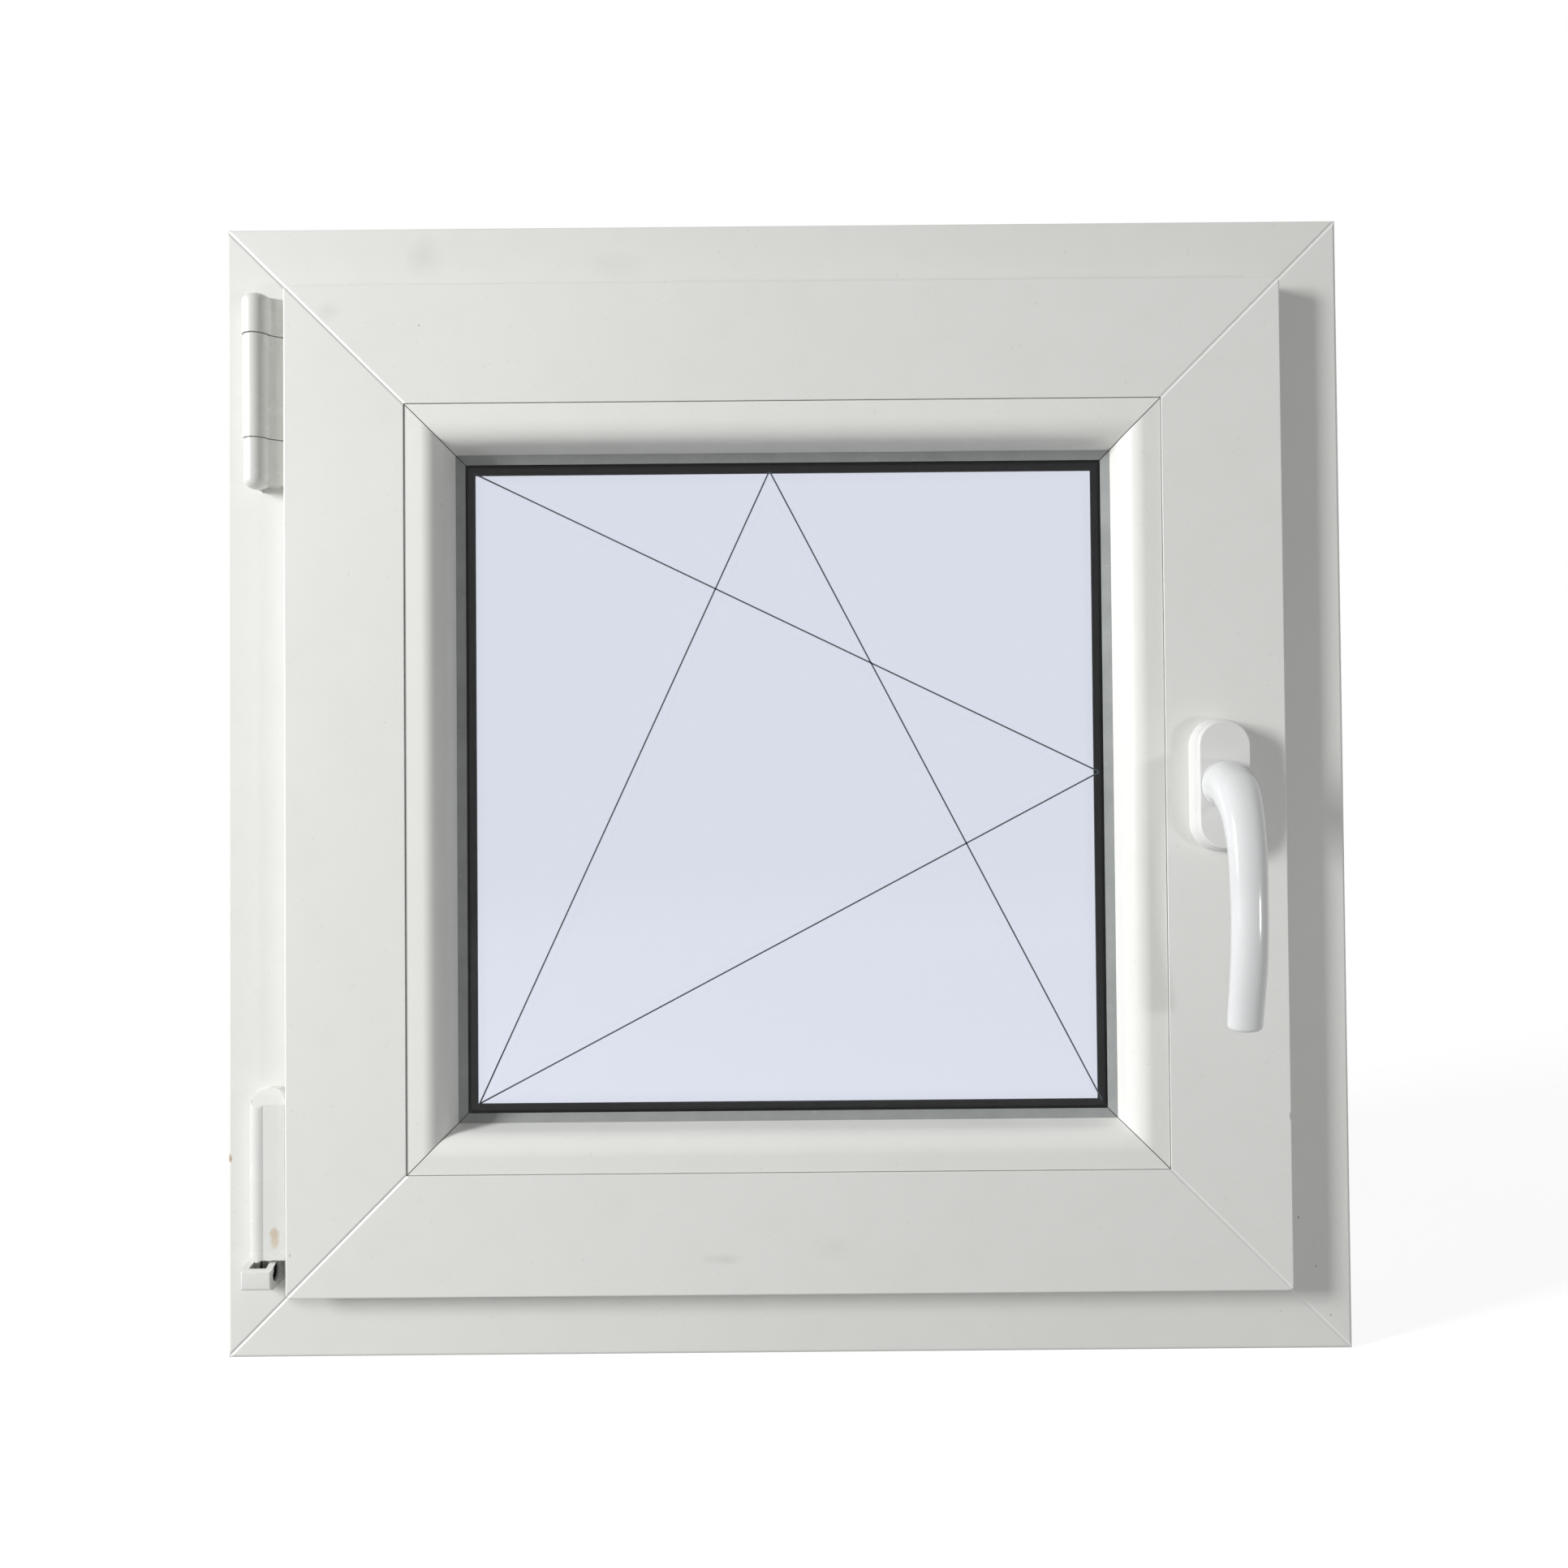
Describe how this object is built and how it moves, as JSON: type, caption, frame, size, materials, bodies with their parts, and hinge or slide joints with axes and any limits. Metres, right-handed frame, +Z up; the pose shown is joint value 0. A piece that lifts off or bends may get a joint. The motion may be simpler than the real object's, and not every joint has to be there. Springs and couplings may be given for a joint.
{
  "type": "tilt and turn window",
  "caption": "Single light tilt and turn window with a white mitred frame and sash, double glazing, covered hinges on one side and a lever handle on the other.",
  "frame": {"origin": "centre of the sill's flat bottom face, midway between the frame's room and weather faces", "axes": "+X along the sill from the hinge side to the handle side, +Y from the room to the weather, +Z up"},
  "size_m": [0.6, 0.1354, 0.606],
  "materials": {
    "frame_plastic": "smooth white plastic, slightly warm, a little soiled",
    "sash_plastic": "smooth white plastic, slightly warm",
    "bead_plastic": "smooth white plastic",
    "grey_gasket": "soft grey rubber",
    "black_gasket": "soft black rubber",
    "window_glass": "clear float glass",
    "edge_sealant": "matt black sealant",
    "spacer_bar": "matt black warm edge bar",
    "packer_plastic": "plain moulded plastic",
    "zinc_steel": "bright zinc plated steel",
    "screw_steel": "dark plated steel",
    "hinge_plastic": "glossy white plastic cover",
    "lever_enamel": "glossy white powder coat",
    "rosette_plastic": "satin white plastic"
  },
  "bodies": {
    "window": {"bead_bottom": "bead_plastic", "bead_gasket_bottom": "grey_gasket", "bead_gasket_hinge_side": "grey_gasket", "bead_gasket_lock_side": "grey_gasket", "bead_gasket_top": "grey_gasket", "bead_hinge_side": "bead_plastic", "bead_lock_side": "bead_plastic", "bead_top": "bead_plastic", "frame_head": "frame_plastic", "frame_hinge_jamb": "frame_plastic", "frame_lock_jamb": "frame_plastic", "frame_sill": "frame_plastic", "glass_edge_seal": "edge_sealant", "glass_pane_room": "window_glass", "glass_pane_weather": "window_glass", "glass_spacer": "spacer_bar", "glazing_gasket_weather": "black_gasket", "glazing_packers": "packer_plastic", "handle_base_plate": "rosette_plastic", "handle_rosette": "rosette_plastic", "lower_hinge_bracket": "hinge_plastic", "lower_hinge_cover": "hinge_plastic", "lower_hinge_pin": "zinc_steel", "lower_hinge_screw": "screw_steel", "overlap_seal": "black_gasket", "sash_bottom_rail": "sash_plastic", "sash_hinge_stile": "sash_plastic", "sash_lock_stile": "sash_plastic", "sash_top_rail": "sash_plastic", "top_hinge_cap": "hinge_plastic", "top_hinge_foot": "hinge_plastic", "top_hinge_pin": "zinc_steel", "top_hinge_sleeve": "hinge_plastic", "weather_seal": "black_gasket"},
    "handle": {"handle_lever": "lever_enamel", "handle_spindle": "zinc_steel"}
  },
  "joints": [
    {"name": "handle_turn", "type": "hinge", "parent": "window", "child": "handle", "pos_m": [0.2275, -0.061, 0.301], "axis": [0, 1, 0], "range_deg": [0, 180]}
  ]
}
